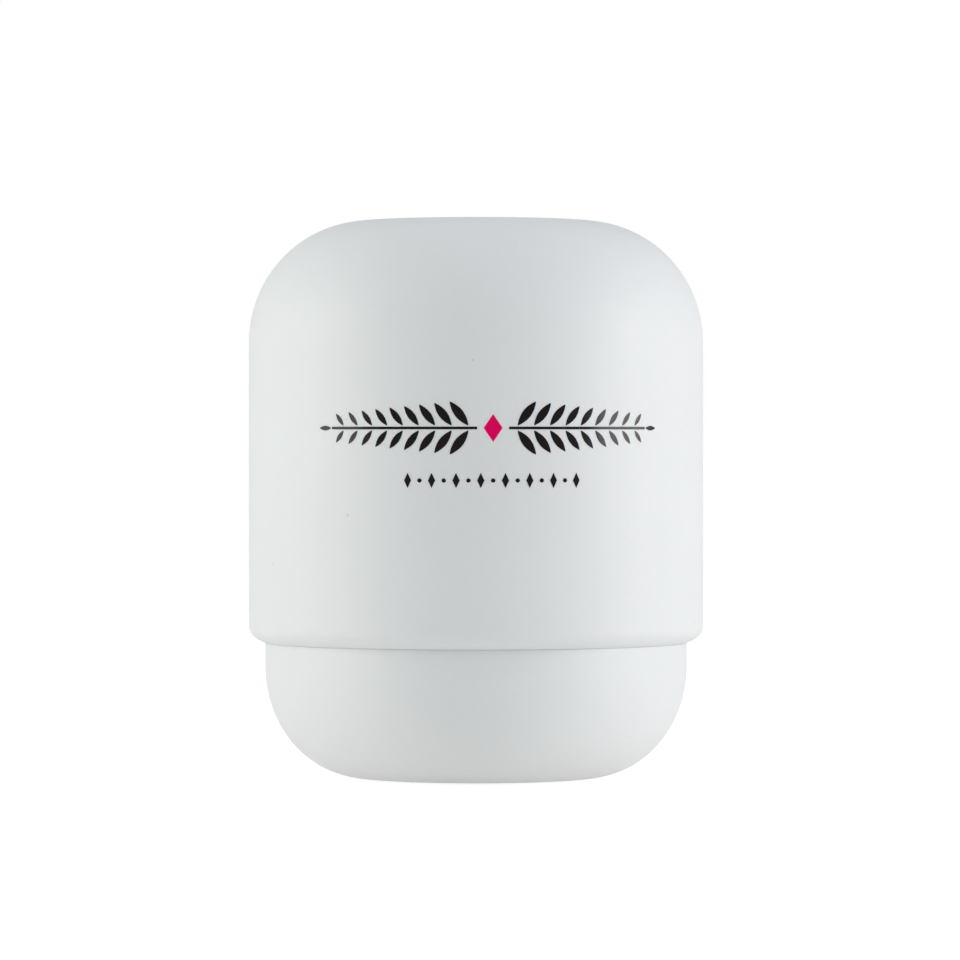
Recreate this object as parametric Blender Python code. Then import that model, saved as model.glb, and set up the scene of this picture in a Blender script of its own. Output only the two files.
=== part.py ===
# Makeup sponge case: a domed silicone cap that drops over the neck of a vented base cup.
# Metres, +Z up. The origin is the centre of the foot, and the printed side faces -Y.

import math

import bmesh
import bpy
from mathutils import Matrix

# Cap shell
CAP_RADIUS = 0.0325
CAP_WALL = 0.0030
CAP_CEILING = 0.0030
CAP_STRAIGHT = 0.0428
CAP_KNUCKLE_INSET = 0.0170
CAP_KNUCKLE_RISE = 0.0174
CAP_CROWN_RADIUS = 0.680
RIM_LEAD_IN = 0.0003

# Seat between the cap's rim and the ledge of the base
SEAT_OVERLAP = 0.0006
SEAT_GAP = 0.0003

# Neck of the base, which stands inside the cap
NECK_HEIGHT = 0.0140
NECK_CLEARANCE = 0.0008
NECK_WALL = 0.0016
NECK_LIP_ROUND = 0.0006

# Sealing bead round the neck, and the groove for it inside the cap
BEAD_CENTRE = 0.0070
BEAD_WIDTH = 0.0026
BEAD_CLEARANCE = 0.00025
GROOVE_DEPTH = 0.0004
GROOVE_CLEARANCE = 0.0005

# Base cup below the ledge
BASE_STRAIGHT = 0.0031
BASE_KNUCKLE_INSET = 0.0140
BASE_KNUCKLE_RISE = 0.0158
BASE_CROWN_RADIUS = 1.000
BASE_FLOOR = 0.0022

# Foot ring, the recess inside it, and the vents through the floor
FOOT_WIDTH = 0.0024
RECESS_DEPTH = 0.0010
RECESS_EDGE_ROUND = 0.0004
VENT_COUNT = 6
VENT_RADIUS = 0.0015
VENT_WEB = 0.0026
VENT_MARGIN = 0.0015

# Ribs that hold the sponge off the vents
RIB_WIDTH = 0.0016
RIB_HEIGHT = 0.0010
RIB_ROOT = 0.0008
RIB_BITE = 0.0010
RIB_EDGE_ROUND = 0.0004

# Fineness of the turned surfaces
TURN_STEPS = 64
KNUCKLE_STEPS = 10
CROWN_STEPS = 2
ROUND_STEPS = 4
BEAD_STEPS = 6
VENT_SIDES = 16
MERGE_DISTANCE = 1e-7
SHARP_ANGLE = math.radians(32)

# Radii that follow from the cap's bore
cap_bore = CAP_RADIUS - CAP_WALL
base_radius = cap_bore + SEAT_OVERLAP
rim_round = CAP_RADIUS - base_radius
neck_radius = cap_bore - NECK_CLEARANCE
cup_radius = neck_radius - NECK_WALL
bead_radius = cap_bore - BEAD_CLEARANCE
groove_radius = cap_bore + GROOVE_DEPTH

# Radii that follow from the vents
vent_pitch_radius = 2 * VENT_RADIUS + VENT_WEB
recess_radius = vent_pitch_radius + VENT_RADIUS + VENT_MARGIN
foot_radius = recess_radius + FOOT_WIDTH

# Heights of the base's inside, from the foot
floor_height = RECESS_DEPTH + BASE_FLOOR


def arc(centre, radii, start, end, steps):
    # Points along an elliptical arc; 0 degrees points outwards and 90 degrees points up.
    points = []
    for step in range(steps + 1):
        angle = math.radians(start + (end - start) * step / steps)
        points.append((centre[0] + radii[0] * math.cos(angle), centre[1] + radii[1] * math.sin(angle)))
    return points


def dished_end(radius, inset, rise, crown_radius, stop_radius=0.0):
    # An elliptical knuckle that runs tangent into a shallow crown, as (radius, height) points
    # from the side wall inwards. Both are drawn as circles and stretched to the rise.
    stretch = rise / inset
    core = radius - inset
    drop = math.sqrt((crown_radius - inset) ** 2 - core ** 2)
    lean = math.degrees(math.asin(core / (crown_radius - inset)))
    points = arc((core, 0), (inset, rise), 0, 90 - lean, KNUCKLE_STEPS)
    crown_start = points[-1][0]
    for step in range(1, CROWN_STEPS + 1):
        reach = crown_start + (stop_radius - crown_start) * step / CROWN_STEPS
        points.append((reach, (math.sqrt(crown_radius ** 2 - reach ** 2) - drop) * stretch))
    return points


def half_round(wall_radius, peak_radius, centre_height, width):
    # A bead or a groove: half an ellipse that stands off a straight wall, from below upwards.
    return arc((wall_radius, centre_height), (peak_radius - wall_radius, width / 2), -90, 90, BEAD_STEPS)


def turned_solid(name, profile, material):
    # Spins a profile that starts and ends on the axis into one closed solid.
    mesh = bpy.data.meshes.new(name)
    shape = bmesh.new()
    verts = [shape.verts.new((radius, 0, height)) for radius, height in profile]
    edges = [shape.edges.new(pair) for pair in zip(verts, verts[1:])]
    bmesh.ops.spin(
        shape, geom=verts + edges, cent=(0, 0, 0), axis=(0, 0, 1), angle=2 * math.pi,
        steps=TURN_STEPS, use_merge=True)
    bmesh.ops.remove_doubles(shape, verts=shape.verts, dist=MERGE_DISTANCE)
    bmesh.ops.recalc_face_normals(shape, faces=shape.faces)
    return finished_object(name, mesh, shape, material)


def finished_object(name, mesh, shape, material):
    # Writes the bmesh to its mesh, shades it smooth and links the object.
    shape.to_mesh(mesh)
    shape.free()
    mesh.shade_smooth()
    mesh.set_sharp_from_angle(angle=SHARP_ANGLE)
    mesh.materials.append(material)
    part = bpy.data.objects.new(name, mesh)
    bpy.context.collection.objects.link(part)
    return part


def silicone(name, colour, roughness):
    material = bpy.data.materials.new(name)
    material.use_nodes = True
    shader = material.node_tree.nodes["Principled BSDF"]
    shader.inputs["Base Color"].default_value = (*colour, 1)
    shader.inputs["Roughness"].default_value = roughness
    shader.inputs["Metallic"].default_value = 0
    return material


def as_tool(part):
    # A cutter or an added body shows only through the Boolean that uses it.
    part.hide_render = True
    part.display_type = "WIRE"
    return part


def join_with(part, tool, operation):
    modifier = part.modifiers.new(tool.name, "BOOLEAN")
    modifier.operation = operation
    modifier.solver = "EXACT"
    modifier.object = tool


def settle(part):
    # Applies the Booleans, so that the edges they cut can be marked sharp too.
    depsgraph = bpy.context.evaluated_depsgraph_get()
    mesh = bpy.data.meshes.new_from_object(part.evaluated_get(depsgraph))
    part.modifiers.clear()
    part.data = mesh
    mesh.name = part.name
    mesh.set_sharp_from_angle(angle=SHARP_ANGLE)


def cap_profile(bead_height):
    # From the top centre down the outside, round the rim, and up the bore to the inside centre.
    outer_dome = dished_end(CAP_RADIUS, CAP_KNUCKLE_INSET, CAP_KNUCKLE_RISE, CAP_CROWN_RADIUS)
    inner_dome = dished_end(
        cap_bore, CAP_KNUCKLE_INSET - CAP_WALL, CAP_KNUCKLE_RISE - CAP_CEILING, CAP_CROWN_RADIUS)
    profile = [(radius, CAP_STRAIGHT + height) for radius, height in reversed(outer_dome)]
    profile += arc((base_radius, rim_round), (rim_round, rim_round), 0, -90, ROUND_STEPS)
    profile += [(cap_bore + RIM_LEAD_IN, 0), (cap_bore, RIM_LEAD_IN)]
    profile += half_round(cap_bore, groove_radius, bead_height, BEAD_WIDTH + 2 * GROOVE_CLEARANCE)
    profile += [(radius, CAP_STRAIGHT + height) for radius, height in inner_dome]
    return profile


def base_profile(seat_height, knuckle_height):
    # From the middle of the recess out over the foot ring, up the outside, the ledge and the
    # neck with its bead, over the lip, and down the inside to the middle of the floor.
    neck_top = seat_height + NECK_HEIGHT
    lip_round = min(NECK_LIP_ROUND, NECK_WALL / 2)
    recess_round = min(RECESS_EDGE_ROUND, RECESS_DEPTH)
    outer_end = dished_end(
        base_radius, BASE_KNUCKLE_INSET, BASE_KNUCKLE_RISE, BASE_CROWN_RADIUS, foot_radius)
    core = base_radius - BASE_KNUCKLE_INSET
    profile = [(0, RECESS_DEPTH), (recess_radius, RECESS_DEPTH)]
    profile += arc((recess_radius + recess_round, recess_round), (recess_round, recess_round), 180, 270, 2)
    profile += [(radius, knuckle_height - depth) for radius, depth in reversed(outer_end)]
    profile += [(base_radius, seat_height), (neck_radius, seat_height)]
    profile += half_round(neck_radius, bead_radius, seat_height + BEAD_CENTRE, BEAD_WIDTH)
    profile += arc((neck_radius - lip_round, neck_top - lip_round), (lip_round, lip_round), 0, 90, ROUND_STEPS)
    profile += arc((cup_radius + lip_round, neck_top - lip_round), (lip_round, lip_round), 90, 180, ROUND_STEPS)
    profile += arc(
        (core, knuckle_height), (cup_radius - core, knuckle_height - floor_height), 0, -90, KNUCKLE_STEPS)
    profile.append((0, floor_height))
    return profile


def vent_cutter(material):
    # One hole on the axis and a ring of holes round it, through the floor.
    shape = bmesh.new()
    centres = [(0, 0)]
    for index in range(VENT_COUNT):
        angle = 2 * math.pi * index / VENT_COUNT
        centres.append((vent_pitch_radius * math.cos(angle), vent_pitch_radius * math.sin(angle)))
    for x, y in centres:
        bmesh.ops.create_cone(
            shape, cap_ends=True, segments=VENT_SIDES, radius1=VENT_RADIUS, radius2=VENT_RADIUS,
            depth=2 * floor_height, matrix=Matrix.Translation((x, y, floor_height)))
    mesh = bpy.data.meshes.new("vent_cutter")
    return as_tool(finished_object("vent_cutter", mesh, shape, material))


def floor_ribs(knuckle_height, material):
    # Radial ribs between the vents, from over the foot ring into the rising wall of the cup.
    core = base_radius - BASE_KNUCKLE_INSET
    reach = cup_radius - core
    rise = knuckle_height - floor_height
    sunk = (rise - RIB_HEIGHT) / rise
    wall_at_rib_top = core + reach * math.sqrt(1 - sunk ** 2)
    start = recess_radius
    end = wall_at_rib_top + RIB_BITE
    shape = bmesh.new()
    for index in range(VENT_COUNT):
        turn = Matrix.Rotation(2 * math.pi * (index + 0.5) / VENT_COUNT, 4, "Z")
        place = Matrix.Translation(((start + end) / 2, 0, floor_height + (RIB_HEIGHT - RIB_ROOT) / 2))
        size = Matrix.Diagonal((end - start, RIB_WIDTH, RIB_HEIGHT + RIB_ROOT, 1))
        made = bmesh.ops.create_cube(shape, size=1, matrix=place @ size)
        top = floor_height + RIB_HEIGHT
        edges = {edge for vert in made["verts"] for edge in vert.link_edges}
        crest = [edge for edge in edges if all(vert.co.z > top - MERGE_DISTANCE for vert in edge.verts)]
        before = set(shape.verts) - set(made["verts"])
        bmesh.ops.bevel(
            shape, geom=crest, offset=min(RIB_EDGE_ROUND, RIB_WIDTH / 3), segments=2, affect="EDGES",
            profile=0.5)
        bmesh.ops.transform(shape, matrix=turn, verts=[vert for vert in shape.verts if vert not in before])
    mesh = bpy.data.meshes.new("floor_ribs")
    return as_tool(finished_object("floor_ribs", mesh, shape, material))


def build():
    for leftover in list(bpy.data.objects):
        bpy.data.objects.remove(leftover, do_unlink=True)

    # The height chain, from the foot up
    outer_end = dished_end(
        base_radius, BASE_KNUCKLE_INSET, BASE_KNUCKLE_RISE, BASE_CROWN_RADIUS, foot_radius)
    knuckle_height = outer_end[-1][1]
    seat_height = knuckle_height + BASE_STRAIGHT
    rim_height = seat_height + SEAT_GAP
    bead_height_in_cap = BEAD_CENTRE - SEAT_GAP

    base_silicone = silicone("base_silicone", (0.84, 0.85, 0.855), 0.55)
    cap_silicone = silicone("cap_silicone", (0.86, 0.87, 0.875), 0.5)

    base_cup = turned_solid("base_cup", base_profile(seat_height, knuckle_height), base_silicone)
    join_with(base_cup, floor_ribs(knuckle_height, base_silicone), "UNION")
    join_with(base_cup, vent_cutter(base_silicone), "DIFFERENCE")
    settle(base_cup)

    # The cap's origin is on the lift axis, level with its rim
    cap = turned_solid("cap", cap_profile(bead_height_in_cap), cap_silicone)
    cap.location = (0, 0, rim_height)


build()
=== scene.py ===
# Makeup sponge case: the looks of its silicone cap, its base cup and the print on the cap.
# Metres, +Z up. The print is centred on -Y.
import math

import bmesh
import bpy
from mathutils import Matrix, Vector


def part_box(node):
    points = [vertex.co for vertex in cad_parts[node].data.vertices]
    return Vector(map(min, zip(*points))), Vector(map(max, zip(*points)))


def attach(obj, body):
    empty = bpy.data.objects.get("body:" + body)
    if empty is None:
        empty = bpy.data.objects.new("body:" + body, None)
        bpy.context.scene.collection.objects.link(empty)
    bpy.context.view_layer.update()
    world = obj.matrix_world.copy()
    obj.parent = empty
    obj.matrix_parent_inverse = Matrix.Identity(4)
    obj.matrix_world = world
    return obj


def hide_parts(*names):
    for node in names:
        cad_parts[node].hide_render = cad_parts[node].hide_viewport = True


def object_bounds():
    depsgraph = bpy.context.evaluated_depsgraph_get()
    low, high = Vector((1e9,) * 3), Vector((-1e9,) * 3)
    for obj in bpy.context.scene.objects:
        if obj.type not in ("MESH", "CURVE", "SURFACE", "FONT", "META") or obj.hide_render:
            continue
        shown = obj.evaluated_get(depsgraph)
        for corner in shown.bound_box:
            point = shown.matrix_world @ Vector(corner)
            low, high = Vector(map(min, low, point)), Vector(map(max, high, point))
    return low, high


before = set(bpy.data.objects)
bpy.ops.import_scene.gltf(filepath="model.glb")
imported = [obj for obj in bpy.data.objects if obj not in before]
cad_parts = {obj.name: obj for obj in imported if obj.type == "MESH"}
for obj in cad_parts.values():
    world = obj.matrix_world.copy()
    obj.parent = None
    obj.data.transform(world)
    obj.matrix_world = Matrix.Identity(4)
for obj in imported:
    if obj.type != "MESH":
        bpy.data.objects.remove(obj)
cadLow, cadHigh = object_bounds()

capLow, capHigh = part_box("cap")
baseLow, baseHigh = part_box("base_cup")
weld = 2e-7                       # vertices closer than this are one
clearOfBox = 2e-6                 # the fine shells stay this far inside the solids' box
noiseLow, noiseHigh = 0.3, 0.7    # most of a noise texture lies between these


# Small tools for node trees

def addNode(tree, kind, sockets=None, **settings):
    # settings are the node's own properties, sockets its inputs by name or number
    made = tree.nodes.new(kind)
    for name, value in settings.items():
        setattr(made, name, value)
    for name, value in (sockets or {}).items():
        if isinstance(value, bpy.types.NodeSocket):
            tree.links.new(value, made.inputs[name])
        else:
            made.inputs[name].default_value = value
    return made


def mathNode(tree, operation, first, second=0.0):
    return addNode(tree, "ShaderNodeMath", {0: first, 1: second}, operation=operation).outputs[0]


def integerNode(tree, operation, first, second):
    sockets = {0: first, 1: second}
    return addNode(tree, "FunctionNodeIntegerMath", sockets, operation=operation).outputs[0]


def vectorNode(tree, x=0.0, y=0.0, z=0.0):
    return addNode(tree, "ShaderNodeCombineXYZ", {"X": x, "Y": y, "Z": z}).outputs[0]


def mapRange(tree, value, low, high, toLow, toHigh):
    # low to high becomes toLow to toHigh, and what lies outside is clamped
    sockets = {"Value": value, "From Min": low, "From Max": high, "To Min": toLow, "To Max": toHigh}
    return addNode(tree, "ShaderNodeMapRange", sockets).outputs["Result"]


def noiseNode(tree, place, scale, detail=2.0):
    sockets = {"Vector": place, "Scale": scale, "Detail": detail}
    return addNode(tree, "ShaderNodeTexNoise", sockets).outputs[0]


def mixColour(tree, share, first, other, blend="MIX"):
    # a share of 0 is the first colour and 1 the other; a colour is a socket or three numbers
    sockets = {0: share}
    for number, colour in ((6, first), (7, other)):      # the Mix node's colour inputs
        sockets[number] = colour if isinstance(colour, bpy.types.NodeSocket) else (*colour, 1)
    return addNode(tree, "ShaderNodeMix", sockets, data_type="RGBA", blend_type=blend).outputs[2]


def newMaterial(name):
    material = bpy.data.materials.new(name)
    material.use_nodes = True
    return material, material.node_tree, material.node_tree.nodes["Principled BSDF"]


def makeReal(tree, geometry):
    return addNode(tree, "GeometryNodeRealizeInstances", {"Geometry": geometry}).outputs[0]


def joinParts(tree, parts):
    # Join Geometry takes many links on one socket
    node = tree.nodes.new("GeometryNodeJoinGeometry")
    for part in reversed(parts):
        tree.links.new(part, node.inputs[0])
    return node.outputs[0]


def weldPoints(tree, geometry, distance):
    sockets = {"Geometry": geometry, "Distance": distance}
    return addNode(tree, "GeometryNodeMergeByDistance", sockets).outputs[0]


def moveBy(tree, geometry, offset):
    return addNode(tree, "GeometryNodeTransform", {"Geometry": geometry, "Translation": offset}).outputs[0]


def copyOnto(tree, points, shape, **more):
    # more holds the Rotation, Scale or Selection of the copies, in small letters
    sockets = {"Points": points, "Instance": shape}
    sockets.update({name.capitalize(): value for name, value in more.items()})
    return addNode(tree, "GeometryNodeInstanceOnPoints", sockets).outputs[0]


def circleCurve(tree, resolution, radius):
    sockets = {"Resolution": resolution, "Radius": radius}
    return addNode(tree, "GeometryNodeCurvePrimitiveCircle", sockets).outputs[0]


def newTree(name, inputs):
    # a geometry tree with its named inputs; gives the tree, the input sockets and a closing function
    tree = bpy.data.node_groups.new(name, "GeometryNodeTree")
    tree.interface.new_socket("Geometry", in_out="OUTPUT", socket_type="NodeSocketGeometry")
    for label, kind in inputs.items():
        tree.interface.new_socket(label, in_out="INPUT", socket_type="NodeSocket" + kind)
    given = tree.nodes.new("NodeGroupInput").outputs

    def close(geometry):
        # every tree ends with real geometry in its material
        sockets = {"Geometry": makeReal(tree, geometry), "Material": given["Material"]}
        painted = addNode(tree, "GeometryNodeSetMaterial", sockets).outputs[0]
        tree.links.new(painted, tree.nodes.new("NodeGroupOutput").inputs["Geometry"])

    return tree, given, close


def runTree(name, tree, startMesh, values):
    # runs the tree once on a mesh and keeps the result as a plain mesh object
    piece = bpy.data.objects.new(name, startMesh)
    bpy.context.scene.collection.objects.link(piece)
    modifier = piece.modifiers.new(tree.name, "NODES")
    modifier.node_group = tree
    for socket in tree.interface.items_tree:
        if socket.in_out == "INPUT" and socket.name in values:
            modifier[socket.identifier] = values[socket.name]
    evaluated = piece.evaluated_get(bpy.context.evaluated_depsgraph_get())
    mesh = bpy.data.meshes.new_from_object(evaluated)
    piece.modifiers.remove(modifier)
    piece.data = mesh
    mesh.name = name
    return piece


def faceOutwards(piece, sharpAngle):
    # welds what touches, points every face out and keeps only real corners sharp
    shape = bmesh.new()
    shape.from_mesh(piece.data)
    bmesh.ops.remove_doubles(shape, verts=shape.verts, dist=weld)
    bmesh.ops.recalc_face_normals(shape, faces=shape.faces)
    openEdges = sum(1 for edge in shape.edges if len(edge.link_faces) != 2)
    shape.to_mesh(piece.data)
    shape.free()
    piece.data.shade_smooth()
    piece.data.set_sharp_from_angle(angle=math.radians(sharpAngle))
    print(piece.name, "faces", len(piece.data.polygons), "open edges", openEdges)


# Profiles, as (radius, height) points

def roundedPath(corners, arcSteps=6):
    # a path through (radius, height, fillet) corners, with each fillet drawn as an arc
    path = []
    for index, (radius, height, fillet) in enumerate(corners):
        here = Vector((radius, height))
        if not fillet:
            path.append(here)
            continue
        back = (Vector(corners[index - 1][:2]) - here).normalized()
        ahead = (Vector(corners[index + 1][:2]) - here).normalized()
        half = back.angle(ahead) / 2
        centre = here + (back + ahead).normalized() * fillet / math.sin(half)
        setBack = fillet / math.tan(half)
        first = here + back * setBack - centre
        last = here + ahead * setBack - centre
        path += [centre + fillet * first.slerp(last, step / arcSteps) for step in range(arcSteps + 1)]
    return path


def ellipseArc(centre, radii, start, end, steps):
    # 0 degrees points outwards and 90 degrees points up
    path = []
    for step in range(steps + 1):
        angle = math.radians(start + (end - start) * step / steps)
        across, up = radii[0] * math.cos(angle), radii[1] * math.sin(angle)
        path.append(Vector((centre[0] + across, centre[1] + up)))
    return path


def dishedEnd(radius, inset, rise, crownRadius, stopRadius, kneeSteps=40, crownSteps=14):
    # an elliptical knee that runs tangent into a shallow crown, from the side wall inwards
    stretch = rise / inset
    core = radius - inset
    drop = math.sqrt((crownRadius - inset) ** 2 - core ** 2)
    lean = math.degrees(math.asin(core / (crownRadius - inset)))
    path = ellipseArc((core, 0), (inset, rise), 0, 90 - lean, kneeSteps)
    crownStart = path[-1].x
    for step in range(1, crownSteps + 1):
        reach = crownStart + (stopRadius - crownStart) * step / crownSteps
        path.append(Vector((reach, (math.sqrt(crownRadius ** 2 - reach ** 2) - drop) * stretch)))
    return path


def shifted(path, height):
    return [Vector((point.x, point.y + height)) for point in path]


def profileMesh(name, outside, inside):
    # the whole profile as a chain of edges, with the inner wall marked for the material
    path = outside + inside
    mesh = bpy.data.meshes.new(name)
    chain = [(index, index + 1) for index in range(len(path) - 1)]
    mesh.from_pydata([(point.x, 0, point.y) for point in path], chain, [])
    mark = mesh.attributes.new("inside", "FLOAT", "POINT")
    mark.data.foreach_set("value", [0.0] * len(outside) + [1.0] * len(inside))
    return mesh


# The tree that turns a profile round the Z axis

def turningTree():
    inputs = {"Geometry": "Geometry", "Segments": "Int", "Weld Distance": "Float", "Material": "Material"}
    tree, given, close = newTree("turnedShell", inputs)
    profile = given["Geometry"]
    count = addNode(tree, "GeometryNodeAttributeDomainSize", {"Geometry": profile}).outputs["Point Count"]

    # a grid with one row for each point of the profile and one column for each step round
    columns = integerNode(tree, "ADD", given["Segments"], 1)
    sockets = {"Vertices X": count, "Vertices Y": columns}
    grid = addNode(tree, "GeometryNodeMeshGrid", sockets).outputs["Mesh"]
    index = tree.nodes.new("GeometryNodeInputIndex").outputs[0]
    row = integerNode(tree, "DIVIDE_FLOOR", index, columns)
    column = integerNode(tree, "MODULO", index, columns)
    turn = mathNode(tree, "MULTIPLY", mathNode(tree, "DIVIDE", column, given["Segments"]), math.tau)

    def fromProfile(value, kind):
        sockets = {"Geometry": profile, "Value": value, "Index": row}
        return addNode(tree, "GeometryNodeSampleIndex", sockets, data_type=kind).outputs[0]

    point = fromProfile(tree.nodes.new("GeometryNodeInputPosition").outputs[0], "FLOAT_VECTOR")
    spun = addNode(tree, "ShaderNodeVectorRotate", {"Vector": point, "Angle": turn}, rotation_type="Z_AXIS")
    sockets = {"Geometry": grid, "Position": spun.outputs[0]}
    placed = addNode(tree, "GeometryNodeSetPosition", sockets).outputs[0]
    mark = addNode(tree, "GeometryNodeInputNamedAttribute", {"Name": "inside"}, data_type="FLOAT")
    sockets = {"Geometry": placed, "Name": "inside", "Value": fromProfile(mark.outputs[0], "FLOAT")}
    stored = addNode(tree, "GeometryNodeStoreNamedAttribute", sockets).outputs[0]
    close(weldPoints(tree, stored, given["Weld Distance"]))
    return tree


turnedShell = turningTree()


# Silicone

def siliconeMaterial(name, look):
    material, tree, shader = newMaterial(name)
    place = tree.nodes.new("ShaderNodeTexCoord").outputs["Object"]

    def noise(scale, toLow, toHigh, detail=2.0):
        return mapRange(tree, noiseNode(tree, place, scale, detail), noiseLow, noiseHigh, toLow, toHigh)

    # broad cloudiness and a fine mottle in the pigment
    cloud = noise(look["cloudScale"], 1 - look["cloudDepth"], 1)
    mottle = noise(look["mottleScale"], 1 - look["mottleDepth"], 1, detail=4.0)
    shade = mathNode(tree, "MULTIPLY", cloud, mottle)

    # a few caught specks of dust, one in some of the cells, with a soft edge
    cells = addNode(tree, "ShaderNodeTexVoronoi", {"Vector": place, "Scale": look["speckScale"]})
    lot = addNode(tree, "ShaderNodeSeparateColor", {0: cells.outputs["Color"]}).outputs[0]
    chosen = mathNode(tree, "LESS_THAN", lot, look["speckShare"])
    dot = mapRange(tree, cells.outputs["Distance"], look["speckSize"] / 2, look["speckSize"], 1, 0)
    speck = mathNode(tree, "MULTIPLY", dot, chosen)
    shade = mathNode(tree, "MULTIPLY", shade, mapRange(tree, speck, 0, 1, 1, look["speckShade"]))
    grey = addNode(tree, "ShaderNodeCombineColor", {0: shade, 1: shade, 2: shade}).outputs[0]
    colour = mixColour(tree, 1.0, look["colour"], grey, "MULTIPLY")
    tree.links.new(colour, shader.inputs["Base Color"])

    # soft-touch outside, a smoother moulded inside, and a rim that hands have polished
    inside = addNode(tree, "ShaderNodeAttribute", attribute_name="inside").outputs["Fac"]
    patchy = noise(look["patchScale"], look["roughLow"], look["roughHigh"], detail=3.0)
    height = addNode(tree, "ShaderNodeSeparateXYZ", {0: place}).outputs["Z"]
    offRim = mathNode(tree, "ABSOLUTE", mathNode(tree, "SUBTRACT", height, look["rimHeight"]))
    worn = mapRange(tree, offRim, 0, look["rimReach"], look["rimPolish"], 0)
    smoother = mathNode(tree, "ADD", mathNode(tree, "MULTIPLY", inside, look["insidePolish"]), worn)
    tree.links.new(mathNode(tree, "SUBTRACT", patchy, smoother), shader.inputs["Roughness"])

    # fine moulded grain over a slow waviness
    waves = addNode(tree, "ShaderNodeBump", {
        "Height": noiseNode(tree, place, look["waveScale"]), "Distance": look["waveDepth"]})
    grain = addNode(tree, "ShaderNodeBump", {
        "Height": noiseNode(tree, place, look["grainScale"], detail=3.0), "Distance": look["grainDepth"],
        "Normal": waves.outputs[0]})
    tree.links.new(grain.outputs[0], shader.inputs["Normal"])
    for socket, value in look["even"].items():
        shader.inputs[socket].default_value = value
    return material


siliconeLook = {
    "colour": (0.842, 0.868, 0.877),
    "cloudScale": 55.0, "cloudDepth": 0.012,          # patches of about 18 mm
    "mottleScale": 1400.0, "mottleDepth": 0.012,      # flecks of about 0.7 mm
    "speckScale": 300.0, "speckShare": 0.25,          # a speck in a quarter of the cells of 3.3 mm
    "speckSize": 0.05, "speckShade": 0.7,
    "patchScale": 90.0, "roughLow": 0.46, "roughHigh": 0.56,
    "rimHeight": capLow.z, "rimReach": 0.0035, "rimPolish": 0.05, "insidePolish": 0.08,
    "waveScale": 150.0, "waveDepth": 0.00003,         # about 7 mm from crest to crest
    "grainScale": 6500.0, "grainDepth": 0.000012,     # sandy, about 0.15 mm
    "even": {                                         # the same all over
        "IOR": 1.41,
        "Subsurface Weight": 0.2, "Subsurface Radius": (1.0, 0.9, 0.85), "Subsurface Scale": 0.0012,
        "Sheen Weight": 0.06, "Sheen Roughness": 0.5,
    },
}
capSilicone = siliconeMaterial("capSilicone", siliconeLook)
baseSilicone = siliconeMaterial("baseSilicone", {**siliconeLook, "colour": (0.84, 0.866, 0.874)})
print("silicone made")


# Cap

inkProud = 0.00003       # the print stands this far out of the cap
inkClearance = 0.00001   # and stays this far inside the solids' box
capForm = {
    "radius": capHigh.x - inkProud - inkClearance,
    "wall": 0.0030, "ceiling": 0.0030,
    "kneeInset": 0.0170, "kneeRise": 0.0174, "crownRadius": 0.680,
    "rimRound": 0.0024, "rimTurn": 62.0,              # how far it turns in, and on how much of an ellipse
    "rimSteps": 16,
    "seatEdge": 0.00025, "seatStart": 0.000375,       # the bore's mouth is rounded, then the rim is flat
    "grooveHeight": 0.0067, "grooveWidth": 0.0036, "grooveDepth": 0.0004, "grooveEdge": 0.0006,
    "segments": 256, "sharpAngle": 40.0,
}


def capProfile(form):
    # from the top centre down the outside and round the rim, then up the bore to the middle
    rim = capLow.z
    bore = form["radius"] - form["wall"]
    outerEnd = dishedEnd(form["radius"], form["kneeInset"], form["kneeRise"], form["crownRadius"], 0)
    kneeHeight = capHigh.z - clearOfBox - outerEnd[-1].y
    outside = shifted(reversed(outerEnd), kneeHeight)

    # the rim turns in on part of an ellipse, so that it meets the ledge at a slant
    rimEnd = math.radians(form["rimTurn"])
    rimRadii = (form["rimRound"] / (1 - math.cos(rimEnd)), form["rimRound"] / math.sin(rimEnd))
    rimCentre = (form["radius"] - rimRadii[0], rim + form["rimRound"])
    outside += ellipseArc(rimCentre, rimRadii, 0, -form["rimTurn"], form["rimSteps"])

    # a shallow groove runs round the bore, level with the bead on the neck
    grooveLow = rim + form["grooveHeight"] - form["grooveWidth"] / 2
    grooveHigh = rim + form["grooveHeight"] + form["grooveWidth"] / 2
    slope = form["grooveWidth"] / 4
    outside += roundedPath([
        (bore + form["seatStart"], rim, 0),
        (bore, rim, form["seatEdge"]),
        (bore, grooveLow - slope, 0),
    ])
    inside = roundedPath([
        (bore, grooveLow - slope / 2, 0),
        (bore, grooveLow, form["grooveEdge"]),
        (bore + form["grooveDepth"], grooveLow + slope, form["grooveEdge"]),
        (bore + form["grooveDepth"], grooveHigh - slope, form["grooveEdge"]),
        (bore, grooveHigh, form["grooveEdge"]),
        (bore, grooveHigh + slope, 0),
    ])
    inset = form["kneeInset"] - form["wall"]
    rise = form["kneeRise"] - form["ceiling"]
    inside += shifted(dishedEnd(bore, inset, rise, form["crownRadius"], 0), kneeHeight)
    return profileMesh("capProfile", outside, inside)


capShell = runTree("capShell", turnedShell, capProfile(capForm), {
    "Segments": capForm["segments"], "Weld Distance": weld, "Material": capSilicone})
faceOutwards(capShell, capForm["sharpAngle"])
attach(capShell, "cap")
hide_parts("cap")
print("cap made")


# Base cup, with its neck, bead, foot ring, vents and ribs

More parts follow.
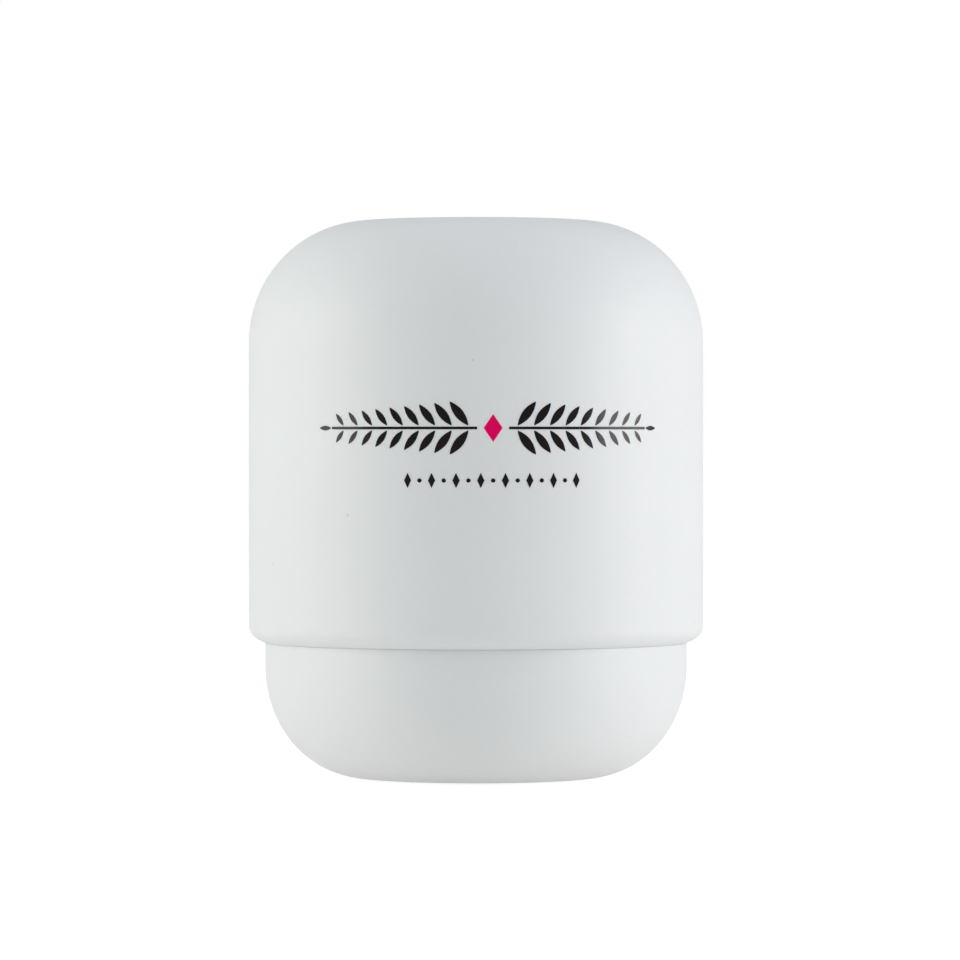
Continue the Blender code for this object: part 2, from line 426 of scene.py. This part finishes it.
baseForm = {
    "radius": baseHigh.x - clearOfBox,
    "neckRadius": 0.0287, "cupRadius": 0.0271, "lipRound": 0.00065,
    "ledgeGap": 0.00001, "ledgeEdge": 0.00006,        # the rim sits on the ledge, all but closed
    "seatHeight": 0.01898,                            # the solid's own ledge, 0.3 mm under the rim
    "beadCentre": 0.0070, "beadWidth": 0.0026, "beadTop": 0.0010, "beadRadius": 0.02925,
    "beadRoot": 0.0003, "beadRound": 0.0004,
    "kneeInset": 0.0140, "kneeRise": 0.0158, "crownRadius": 1.000,
    "footRadius": 0.0110, "recessRadius": 0.0086, "recessDepth": 0.0010,
    "recessRound": 0.00015, "recessEdge": 0.0004,
    "floorHeight": 0.0032, "cupSteps": 40,
    "segments": 256, "sharpAngle": 40.0,
}
ventForm = {
    "count": 6, "pitch": 0.0056, "radius": 0.0015,    # six on a ring, and a seventh in the middle
    "edge": 0.00025, "mouth": 0.0018,                 # the flat floor starts outside each mouth
    "segments": 48, "floorRing": 0.0082,              # and runs out to this ring
}
ribForm = {
    "start": 0.0086, "end": 0.0215, "width": 0.0016, "height": 0.0010,
    "root": 0.0008,                                   # how deep a rib is sunk into the floor
    "edge": 0.00045, "edgeSteps": 5,
}


def baseProfile(form):
    # from the recess out over the foot ring, up to the ledge and neck, then down the inside
    outerEnd = dishedEnd(
        form["radius"], form["kneeInset"], form["kneeRise"], form["crownRadius"], form["footRadius"])
    foot = baseLow.z + clearOfBox
    kneeHeight = foot + outerEnd[-1].y
    ledge = capLow.z - form["ledgeGap"]
    neckTop = baseHigh.z - clearOfBox
    lipMiddle = (form["neckRadius"] + form["cupRadius"]) / 2
    beadHeight = form["seatHeight"] + form["beadCentre"]
    beadHalf = form["beadWidth"] / 2

    # the recess, the foot ring and the dished outside
    outside = roundedPath([
        (ventForm["floorRing"], form["recessDepth"], 0),
        (form["recessRadius"], form["recessDepth"], form["recessRound"]),
        (form["recessRadius"], foot, form["recessEdge"]),
        (form["footRadius"] - form["recessEdge"], foot, 0),
    ])
    outside += [Vector((point.x, kneeHeight - point.y)) for point in reversed(outerEnd)]

    # the ledge, and the neck with its bead and rounded lip
    outside += roundedPath([
        (form["radius"], form["seatHeight"] - form["ledgeEdge"], 0),
        (form["radius"], ledge, form["ledgeEdge"]),
        (form["neckRadius"], ledge, form["ledgeEdge"]),
        (form["neckRadius"], beadHeight - beadHalf, form["beadRoot"]),
        (form["beadRadius"], beadHeight - form["beadTop"] / 2, form["beadRound"]),
        (form["beadRadius"], beadHeight + form["beadTop"] / 2, form["beadRound"]),
        (form["neckRadius"], beadHeight + beadHalf, form["beadRoot"]),
        (form["neckRadius"], neckTop, form["lipRound"]),
        (lipMiddle, neckTop, 0),
    ])

    # the cup's wall, and its well down to the flat floor
    core = form["radius"] - form["kneeInset"]
    inside = roundedPath([
        (lipMiddle - clearOfBox, neckTop, 0),
        (form["cupRadius"], neckTop, form["lipRound"]),
        (form["cupRadius"], kneeHeight + form["kneeInset"] / 4, 0),
    ])
    well = (form["cupRadius"] - core, kneeHeight - form["floorHeight"])
    inside += ellipseArc((core, kneeHeight), well, 0, -90, form["cupSteps"])
    inside.append(Vector((ventForm["floorRing"], form["floorHeight"])))
    return profileMesh("baseProfile", outside, inside)


def ventProfile(vent, base):
    # the wall of one vent, with both its edges rounded
    path = roundedPath([
        (vent["mouth"], base["recessDepth"], 0),
        (vent["radius"], base["recessDepth"], vent["edge"]),
        (vent["radius"], base["floorHeight"], vent["edge"]),
        (vent["mouth"], base["floorHeight"], 0),
    ])
    return profileMesh("ventProfile", path, [])


def ventedCupTree():
    inputs = {
        "Geometry": "Geometry", "Segments": "Int", "Vent Profile": "Object", "Vent Count": "Int",
        "Vent Pitch": "Float", "Vent Mouth": "Float", "Vent Segments": "Int", "Ring Radius": "Float",
        "Floor Height": "Float", "Recess Depth": "Float", "Weld Distance": "Float", "Material": "Material",
    }
    tree, given, close = newTree("ventedCup", inputs)

    def turned(profile, segments):
        return addNode(tree, "GeometryNodeGroup", {
            "Geometry": profile, "Segments": segments, "Weld Distance": given["Weld Distance"],
            "Material": given["Material"]}, node_tree=turnedShell).outputs[0]

    def plate(height, holes):
        # a flat disc inside the ring, with the vents left out
        edge = circleCurve(tree, given["Segments"], given["Ring Radius"])
        border = joinParts(tree, [edge, holes])
        filled = addNode(tree, "GeometryNodeFillCurve", {"Curve": border}).outputs[0]
        return moveBy(tree, filled, vectorNode(tree, z=height))

    shell = turned(given["Geometry"], given["Segments"])

    # one vent in the middle and the others on a ring round it
    ring = addNode(tree, "GeometryNodeMeshCircle", {
        "Vertices": given["Vent Count"], "Radius": given["Vent Pitch"]}).outputs[0]
    middle = addNode(tree, "GeometryNodeMeshLine", {"Count": 1}).outputs[0]
    points = joinParts(tree, [ring, middle])
    wall = addNode(tree, "GeometryNodeObjectInfo", {"Object": given["Vent Profile"]}).outputs["Geometry"]
    vents = makeReal(tree, copyOnto(tree, points, turned(wall, given["Vent Segments"])))
    mouth = circleCurve(tree, given["Vent Segments"], given["Vent Mouth"])
    holes = makeReal(tree, copyOnto(tree, points, mouth))
    plates = [plate(given["Floor Height"], holes), plate(given["Recess Depth"], holes)]
    close(weldPoints(tree, joinParts(tree, [shell, vents, *plates]), given["Weld Distance"]))
    return tree


def ribTree():
    # one rib copied round the axis, half a step from the vents
    inputs = {"Geometry": "Geometry", "Count": "Int", "Material": "Material"}
    tree, given, close = newTree("ribRing", inputs)
    sockets = {"Count": given["Count"], "Offset": (0, 0, 0)}
    points = addNode(tree, "GeometryNodeMeshLine", sockets).outputs[0]
    index = tree.nodes.new("GeometryNodeInputIndex").outputs[0]
    step = mathNode(tree, "DIVIDE", mathNode(tree, "ADD", index, 0.5), given["Count"])
    spin = vectorNode(tree, z=mathNode(tree, "MULTIPLY", step, math.tau))
    close(copyOnto(tree, points, given["Geometry"], rotation=spin))
    return tree


def ribMesh(form, base):
    # one bar along +X with a rounded crest, sunk into the floor and into the rising wall
    shape = bmesh.new()
    size = (form["end"] - form["start"], form["width"], form["height"] + form["root"], 1)
    halfway = (form["start"] + form["end"]) / 2
    middle = (halfway, 0, base["floorHeight"] + (form["height"] - form["root"]) / 2)
    bmesh.ops.create_cube(shape, size=1, matrix=Matrix.Translation(middle) @ Matrix.Diagonal(size))
    crest = base["floorHeight"] + form["height"] - weld
    upper = [edge for edge in shape.edges if any(vert.co.z > crest for vert in edge.verts)]
    outerEnd = [edge for edge in upper if all(vert.co.x > halfway for vert in edge.verts)]
    bmesh.ops.bevel(
        shape, geom=[edge for edge in upper if edge not in outerEnd], offset=form["edge"],
        segments=form["edgeSteps"], affect="EDGES", profile=0.5)
    mesh = bpy.data.meshes.new("rib")
    shape.to_mesh(mesh)
    shape.free()
    return mesh


ventObject = bpy.data.objects.new("ventProfile", ventProfile(ventForm, baseForm))
bpy.context.scene.collection.objects.link(ventObject)
baseCup = runTree("baseCup", ventedCupTree(), baseProfile(baseForm), {
    "Segments": baseForm["segments"], "Vent Profile": ventObject, "Vent Count": ventForm["count"],
    "Vent Pitch": ventForm["pitch"], "Vent Mouth": ventForm["mouth"], "Vent Segments": ventForm["segments"],
    "Ring Radius": ventForm["floorRing"], "Floor Height": baseForm["floorHeight"],
    "Recess Depth": baseForm["recessDepth"], "Weld Distance": weld, "Material": baseSilicone})
bpy.data.objects.remove(ventObject)
faceOutwards(baseCup, baseForm["sharpAngle"])
ribs = runTree("ribs", ribTree(), ribMesh(ribForm, baseForm), {
    "Count": ventForm["count"], "Material": baseSilicone})
union = baseCup.modifiers.new("ribs", "BOOLEAN")
union.operation = "UNION"
union.object = ribs
withRibs = bpy.data.meshes.new_from_object(baseCup.evaluated_get(bpy.context.evaluated_depsgraph_get()))
baseCup.modifiers.remove(union)
baseCup.data = withRibs
bpy.data.objects.remove(ribs)
faceOutwards(baseCup, baseForm["sharpAngle"])
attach(baseCup, "base")
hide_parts("base_cup")
print("base cup made")


# Print on the cap: a leafy sprig either side of a coloured bud, and a row of small beads under it

def inkMaterial(name, look):
    material, tree, shader = newMaterial(name)
    place = tree.nodes.new("ShaderNodeTexCoord").outputs["Object"]
    film = noiseNode(tree, place, look["filmScale"], detail=3.0)
    share = mapRange(tree, film, look["filmLow"], look["filmHigh"], 0, look["thinness"])
    tree.links.new(mixColour(tree, share, look["colour"], look["thin"]), shader.inputs["Base Color"])
    smoothest, roughest = look["roughness"] - look["roughSpread"], look["roughness"] + look["roughSpread"]
    rough = mapRange(tree, film, noiseLow, noiseHigh, smoothest, roughest)
    tree.links.new(rough, shader.inputs["Roughness"])
    bump = addNode(tree, "ShaderNodeBump", {
        "Height": noiseNode(tree, place, look["grainScale"]), "Distance": look["grainDepth"]})
    tree.links.new(bump.outputs[0], shader.inputs["Normal"])
    shader.inputs["IOR"].default_value = look["ior"]
    shader.inputs["Specular IOR Level"].default_value = look["specular"]
    return material


inkLook = {
    "filmScale": 900.0, "filmLow": 0.35, "filmHigh": 0.75,    # the film thins in patches of about 1 mm
    "thinness": 0.5, "roughSpread": 0.04,
    "grainScale": 4200.0, "grainDepth": 0.000003,
    "ior": 1.5,
}
printBlack = inkMaterial("printBlack", {
    **inkLook, "colour": (0.0036, 0.0008, 0.0006), "thin": (0.007, 0.0025, 0.002),
    "roughness": 0.2, "specular": 0.31})
printMagenta = inkMaterial("printMagenta", {
    **inkLook, "colour": (0.83, 0.0, 0.115), "thin": (0.86, 0.0, 0.15),
    "roughness": 0.3, "specular": 0.08})

printForm = {
    "sunk": 0.00002,                                  # the film's back lies this far inside the shell
    "sprigHeight": 0.04986, "pairs": 9, "firstLeaf": 0.0034, "leafStep": 0.0023,
    "leafLength": 0.0042, "leafWidth": 0.00125, "leafAngle": 52.0, "tipScale": 0.5,
    "leafFullness": 0.85,                             # under 1 for a fuller leaf
    "stemStart": 0.0022, "stemEnd": 0.0238, "stemWidth": 0.00036, "stemGap": 0.00016, "stemSteps": 64,
    "budLength": 0.0038, "budWidth": 0.0026,
    "rowHeight": 0.04265, "rowCount": 15, "rowStep": 0.0017, "beadLength": 0.0021, "beadWidth": 0.0010,
    "dotSize": 0.0006,
    "leafFaces": (16, 4), "budFaces": (16, 8), "beadFaces": (8, 4), "dotFaces": (12, 4),
    "sharpAngle": 50.0,
}


def plateMesh(name, length, width, outline, faces):
    # a flat pointed plate along +X that starts at the origin; outline gives its width from 0 to 1
    shape = bmesh.new()
    rows, columns = faces
    lines = []
    for row in range(rows + 1):
        along = row / rows
        half = width / 2 * outline(along)
        places = [half * (2 * column / columns - 1) for column in range(columns + 1)]
        lines.append([shape.verts.new((length * along, place, 0)) for place in places])
    for low, high in zip(lines, lines[1:]):
        for column in range(columns):
            shape.faces.new((low[column], high[column], high[column + 1], low[column + 1]))
    bmesh.ops.remove_doubles(shape, verts=shape.verts, dist=weld)
    bmesh.ops.dissolve_degenerate(shape, edges=shape.edges, dist=weld)
    mesh = bpy.data.meshes.new(name)
    shape.to_mesh(mesh)
    shape.free()
    return mesh


def centredPlate(name, length, width, outline, faces):
    mesh = plateMesh(name, length, width, outline, faces)
    mesh.transform(Matrix.Translation((-length / 2, 0, 0)))
    return mesh


def leafOutline(along):
    return math.sin(math.pi * along) ** printForm["leafFullness"]


def lozengeOutline(along):
    return 1 - abs(2 * along - 1)


def dotOutline(along):
    return math.sqrt(max(0.0, 1 - (2 * along - 1) ** 2))


def wrapOnCap(tree, flat, given):
    # gives the flat plates their thickness and bends them round the cap, centred on -Y
    raised = addNode(tree, "GeometryNodeExtrudeMesh", {
        "Mesh": flat, "Offset": vectorNode(tree, z=given["Thickness"]), "Offset Scale": 1.0,
        "Individual": False}).outputs["Mesh"]
    back = addNode(tree, "GeometryNodeFlipFaces", {"Mesh": flat}).outputs[0]
    solid = weldPoints(tree, joinParts(tree, [raised, back]), weld)
    position = tree.nodes.new("GeometryNodeInputPosition").outputs[0]
    flatPlace = addNode(tree, "ShaderNodeSeparateXYZ", {0: position}).outputs
    angle = mathNode(tree, "DIVIDE", flatPlace["X"], given["Radius"])
    reach = mathNode(tree, "ADD", given["Radius"], flatPlace["Z"])
    x = mathNode(tree, "MULTIPLY", reach, mathNode(tree, "SINE", angle))
    y = mathNode(tree, "MULTIPLY", mathNode(tree, "MULTIPLY", reach, mathNode(tree, "COSINE", angle)), -1.0)
    z = mathNode(tree, "ADD", flatPlace["Y"], given["Height"])
    sockets = {"Geometry": solid, "Position": vectorNode(tree, x, y, z)}
    return addNode(tree, "GeometryNodeSetPosition", sockets).outputs[0]


wrapInputs = {"Radius": "Float", "Height": "Float", "Thickness": "Float", "Material": "Material"}


def sprigTree():
    inputs = {
        "Geometry": "Geometry", "Pairs": "Int", "First Leaf": "Float", "Leaf Step": "Float",
        "Leaf Angle": "Float", "Tip Scale": "Float", "Stem Start": "Float", "Stem End": "Float",
        "Stem Width": "Float", "Stem Gap": "Float", "Stem Steps": "Int", **wrapInputs}
    tree, given, close = newTree("leafSprig", inputs)

    def times(value, factor):
        return mathNode(tree, "MULTIPLY", value, factor)

    leaf = given["Geometry"]
    index = tree.nodes.new("GeometryNodeInputIndex").outputs[0]
    lastLeaf = mathNode(tree, "SUBTRACT", given["Pairs"], 1.0)
    leafScale = mapRange(tree, mathNode(tree, "DIVIDE", index, lastLeaf), 0, 1, 1, given["Tip Scale"])
    offLine = mathNode(tree, "ADD", times(given["Stem Width"], 0.5), given["Stem Gap"])
    tipReach = mathNode(tree, "ADD", given["Stem End"], given["Stem Gap"])
    stemLength = mathNode(tree, "SUBTRACT", given["Stem End"], given["Stem Start"])
    stemMiddle = times(mathNode(tree, "ADD", given["Stem End"], given["Stem Start"]), 0.5)
    parts = []
    for side in (1.0, -1.0):          # right and left of the bud
        outwards = 0.0 if side > 0 else math.pi
        for above in (1.0, -1.0):     # over and under the stem
            start = vectorNode(tree, times(given["First Leaf"], side), times(offLine, above))
            step = vectorNode(tree, times(given["Leaf Step"], side))
            points = addNode(tree, "GeometryNodeMeshLine", {
                "Count": given["Pairs"], "Start Location": start, "Offset": step}).outputs[0]
            turn = mathNode(tree, "ADD", times(given["Leaf Angle"], side * above), outwards)
            spin = vectorNode(tree, z=turn)
            parts.append(copyOnto(tree, points, leaf, rotation=spin, scale=leafScale))
        # one leaf at the tip, in line with the stem
        tip = vectorNode(tree, times(tipReach, side))
        endPoint = addNode(tree, "GeometryNodeMeshLine", {"Count": 1, "Start Location": tip}).outputs[0]
        spin = vectorNode(tree, z=outwards)
        parts.append(copyOnto(tree, endPoint, leaf, rotation=spin, scale=given["Tip Scale"]))
        stem = addNode(tree, "GeometryNodeMeshGrid", {
            "Size X": stemLength, "Size Y": given["Stem Width"],
            "Vertices X": given["Stem Steps"], "Vertices Y": 2}).outputs[0]
        parts.append(moveBy(tree, stem, vectorNode(tree, times(stemMiddle, side))))
    close(wrapOnCap(tree, makeReal(tree, joinParts(tree, parts)), given))
    return tree


def rowTree():
    # one plate repeated along a centred row; Every and First pick which places are filled
    inputs = {
        "Geometry": "Geometry", "Count": "Int", "Step": "Float", "Turn": "Float", "Every": "Int",
        "First": "Int", **wrapInputs}
    tree, given, close = newTree("plateRow", inputs)
    half = mathNode(tree, "MULTIPLY", mathNode(tree, "SUBTRACT", given["Count"], 1.0), -0.5)
    start = vectorNode(tree, mathNode(tree, "MULTIPLY", half, given["Step"]))
    points = addNode(tree, "GeometryNodeMeshLine", {
        "Count": given["Count"], "Start Location": start,
        "Offset": vectorNode(tree, given["Step"])}).outputs[0]
    index = tree.nodes.new("GeometryNodeInputIndex").outputs[0]
    place = integerNode(tree, "MODULO", index, given["Every"])
    picked = addNode(tree, "FunctionNodeCompare", data_type="INT", operation="EQUAL")
    tree.links.new(place, picked.inputs[2])           # the Compare node's whole numbers
    tree.links.new(given["First"], picked.inputs[3])
    spin = vectorNode(tree, z=given["Turn"])
    row = copyOnto(tree, points, given["Geometry"], selection=picked.outputs[0], rotation=spin)
    close(wrapOnCap(tree, makeReal(tree, row), given))
    return tree


def finishPrint(piece):
    faceOutwards(piece, printForm["sharpAngle"])
    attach(piece, "cap")


def makePrint(form):
    wrap = {
        "Radius": capForm["radius"] - form["sunk"], "Thickness": inkProud + form["sunk"],
        "Material": printBlack}
    leaf = plateMesh("leaf", form["leafLength"], form["leafWidth"], leafOutline, form["leafFaces"])
    sprig = runTree("printSprig", sprigTree(), leaf, {
        **wrap, "Height": form["sprigHeight"], "Pairs": form["pairs"], "First Leaf": form["firstLeaf"],
        "Leaf Step": form["leafStep"], "Leaf Angle": math.radians(form["leafAngle"]),
        "Tip Scale": form["tipScale"], "Stem Start": form["stemStart"], "Stem End": form["stemEnd"],
        "Stem Width": form["stemWidth"], "Stem Gap": form["stemGap"], "Stem Steps": form["stemSteps"]})
    finishPrint(sprig)

    # the bud, and then the beads and dots that take turns along the row, all upright
    plates = rowTree()
    upright = {**wrap, "Step": form["rowStep"], "Turn": math.pi / 2}
    row = {**upright, "Height": form["rowHeight"], "Count": form["rowCount"], "Every": 2}
    bud = centredPlate("bud", form["budLength"], form["budWidth"], lozengeOutline, form["budFaces"])
    budPiece = runTree("printBud", plates, bud, {
        **upright, "Material": printMagenta, "Height": form["sprigHeight"], "Count": 1, "Every": 1,
        "First": 0})
    finishPrint(budPiece)
    bead = centredPlate("bead", form["beadLength"], form["beadWidth"], lozengeOutline, form["beadFaces"])
    finishPrint(runTree("printBeads", plates, bead, {**row, "First": 0}))
    dot = centredPlate("dot", form["dotSize"], form["dotSize"], dotOutline, form["dotFaces"])
    finishPrint(runTree("printDots", plates, dot, {**row, "First": 1}))


makePrint(printForm)
print("print made")


# Camera: a little above the middle of the case, and 4 degrees to the left of its front

cameraForm = {
    "azimuth": -4.2, "distance": 0.808, "height": 0.0479, "lens": 211.9, "sensor": 36.0,
    "aimHeight": 0.0425, "aside": 0.00057,            # the case stands a little left of the middle
    "nearest": 0.05, "farthest": 60,
}


def besideCamera(degreesRound, distance, height):
    # a place round the case, counted from the camera towards its right
    turn = math.radians(cameraForm["azimuth"] + degreesRound)
    return Vector((math.sin(turn) * distance, -math.cos(turn) * distance, height))


def makeCamera(form):
    camera = bpy.data.objects.new("camera", bpy.data.cameras.new("camera"))
    bpy.context.scene.collection.objects.link(camera)
    bpy.context.scene.camera = camera
    turn = math.radians(form["azimuth"])
    aside = Vector((math.cos(turn), math.sin(turn), 0)) * form["aside"]
    camera.location = besideCamera(0, form["distance"], form["height"]) + aside
    aim = Vector((0, 0, form["aimHeight"])) + aside
    camera.rotation_euler = (aim - camera.location).to_track_quat("-Z", "Y").to_euler()
    camera.data.lens = form["lens"]
    camera.data.sensor_width = form["sensor"]
    camera.data.clip_start = form["nearest"]
    camera.data.clip_end = form["farthest"]


makeCamera(cameraForm)


# Studio: a wide softbox on each side, a pale tent that is dim in front, and a white floor

studioForm = {
    "boxDistance": 0.75, "boxHeight": 0.18,
    "leftAngle": -80.0, "leftSize": 0.6, "leftPower": 3.13, "leftColour": (1.0, 0.985, 0.91),
    "rightAngle": 78.0, "rightSize": 0.46, "rightPower": 3.07, "rightColour": (1.0, 0.97, 0.965),
    "highSky": (0.685, 0.705, 0.729), "lowSky": (0.365, 0.381, 0.4), "frontSky": (0.175, 0.184, 0.196),
    "frontInner": 40.0, "frontOuter": 65.0,                  # degrees away from the camera
    "lowAngle": 25.0, "highAngle": 50.0,                     # degrees above the horizon
    "floorRadius": 14.0, "floorSides": 96, "floorDrop": 0.00002,
    "floorColour": (0.5, 0.5, 0.5), "floorRoughness": 0.8,
    "floorLight": 0.366, "floorTint": (1.0, 0.98, 0.945),    # what it lights the case with
    "floorGlow": 0.34,                                       # more for the camera, which sees it white
}


def makeSoftbox(side, form):
    name = side + "Softbox"
    light = bpy.data.lights.new(name, "AREA")
    light.shape = "SQUARE"
    light.size = form[side + "Size"]
    light.energy = form[side + "Power"]
    light.color = form[side + "Colour"]
    lamp = bpy.data.objects.new(name, light)
    bpy.context.scene.collection.objects.link(lamp)
    lamp.location = besideCamera(form[side + "Angle"], form["boxDistance"], form["boxHeight"])
    aim = Vector((0, 0, cadHigh.z / 2))
    lamp.rotation_euler = (aim - lamp.location).to_track_quat("-Z", "Y").to_euler()
    lamp.visible_camera = False


def makeWorld(form):
    # white for the camera; as a light it is brighter above and dimmer in front, where the camera stands
    world = bpy.data.worlds.new("studio")
    bpy.context.scene.world = world
    world.use_nodes = True
    tree = world.node_tree
    direction = tree.nodes.new("ShaderNodeTexCoord").outputs["Generated"]

    def within(towards, outerAngle, innerAngle):
        # 0 past the outer angle from a direction, 1 inside the inner one
        facing = addNode(tree, "ShaderNodeVectorMath", {0: direction, 1: towards}, operation="DOT_PRODUCT")
        outer, inner = (math.cos(math.radians(angle)) for angle in (outerAngle, innerAngle))
        return mapRange(tree, facing.outputs["Value"], outer, inner, 0, 1)

    inFront = within(besideCamera(0, 1, 0), form["frontOuter"], form["frontInner"])
    overhead = within(Vector((0, 0, 1)), 90 - form["lowAngle"], 90 - form["highAngle"])
    sides = mixColour(tree, inFront, form["lowSky"], form["frontSky"])
    tent = mixColour(tree, overhead, sides, form["highSky"])
    seen = tree.nodes.new("ShaderNodeLightPath").outputs["Is Camera Ray"]
    tree.links.new(mixColour(tree, seen, tent, (1, 1, 1)), tree.nodes["Background"].inputs["Color"])


def makeFloor(form):
    mesh = bpy.data.meshes.new("floor")
    shape = bmesh.new()
    bmesh.ops.create_circle(shape, cap_ends=True, radius=form["floorRadius"], segments=form["floorSides"])
    shape.to_mesh(mesh)
    shape.free()
    floor = bpy.data.objects.new("floor", mesh)
    bpy.context.scene.collection.objects.link(floor)
    floor.location.z = cadLow.z - form["floorDrop"]
    material, tree, shader = newMaterial("paleFloor")
    shader.inputs["Base Color"].default_value = (*form["floorColour"], 1)
    shader.inputs["Roughness"].default_value = form["floorRoughness"]
    seen = tree.nodes.new("ShaderNodeLightPath").outputs["Is Camera Ray"]
    tree.links.new(mixColour(tree, seen, form["floorTint"], (1, 1, 1)), shader.inputs["Emission Color"])
    strength = mapRange(tree, seen, 0, 1, form["floorLight"], form["floorLight"] + form["floorGlow"])
    tree.links.new(strength, shader.inputs["Emission Strength"])
    mesh.materials.append(material)


makeSoftbox("left", studioForm)
makeSoftbox("right", studioForm)
makeWorld(studioForm)
makeFloor(studioForm)
bpy.context.scene.view_settings.view_transform = "Standard"
bpy.context.scene.view_settings.look = "None"
print("studio made")
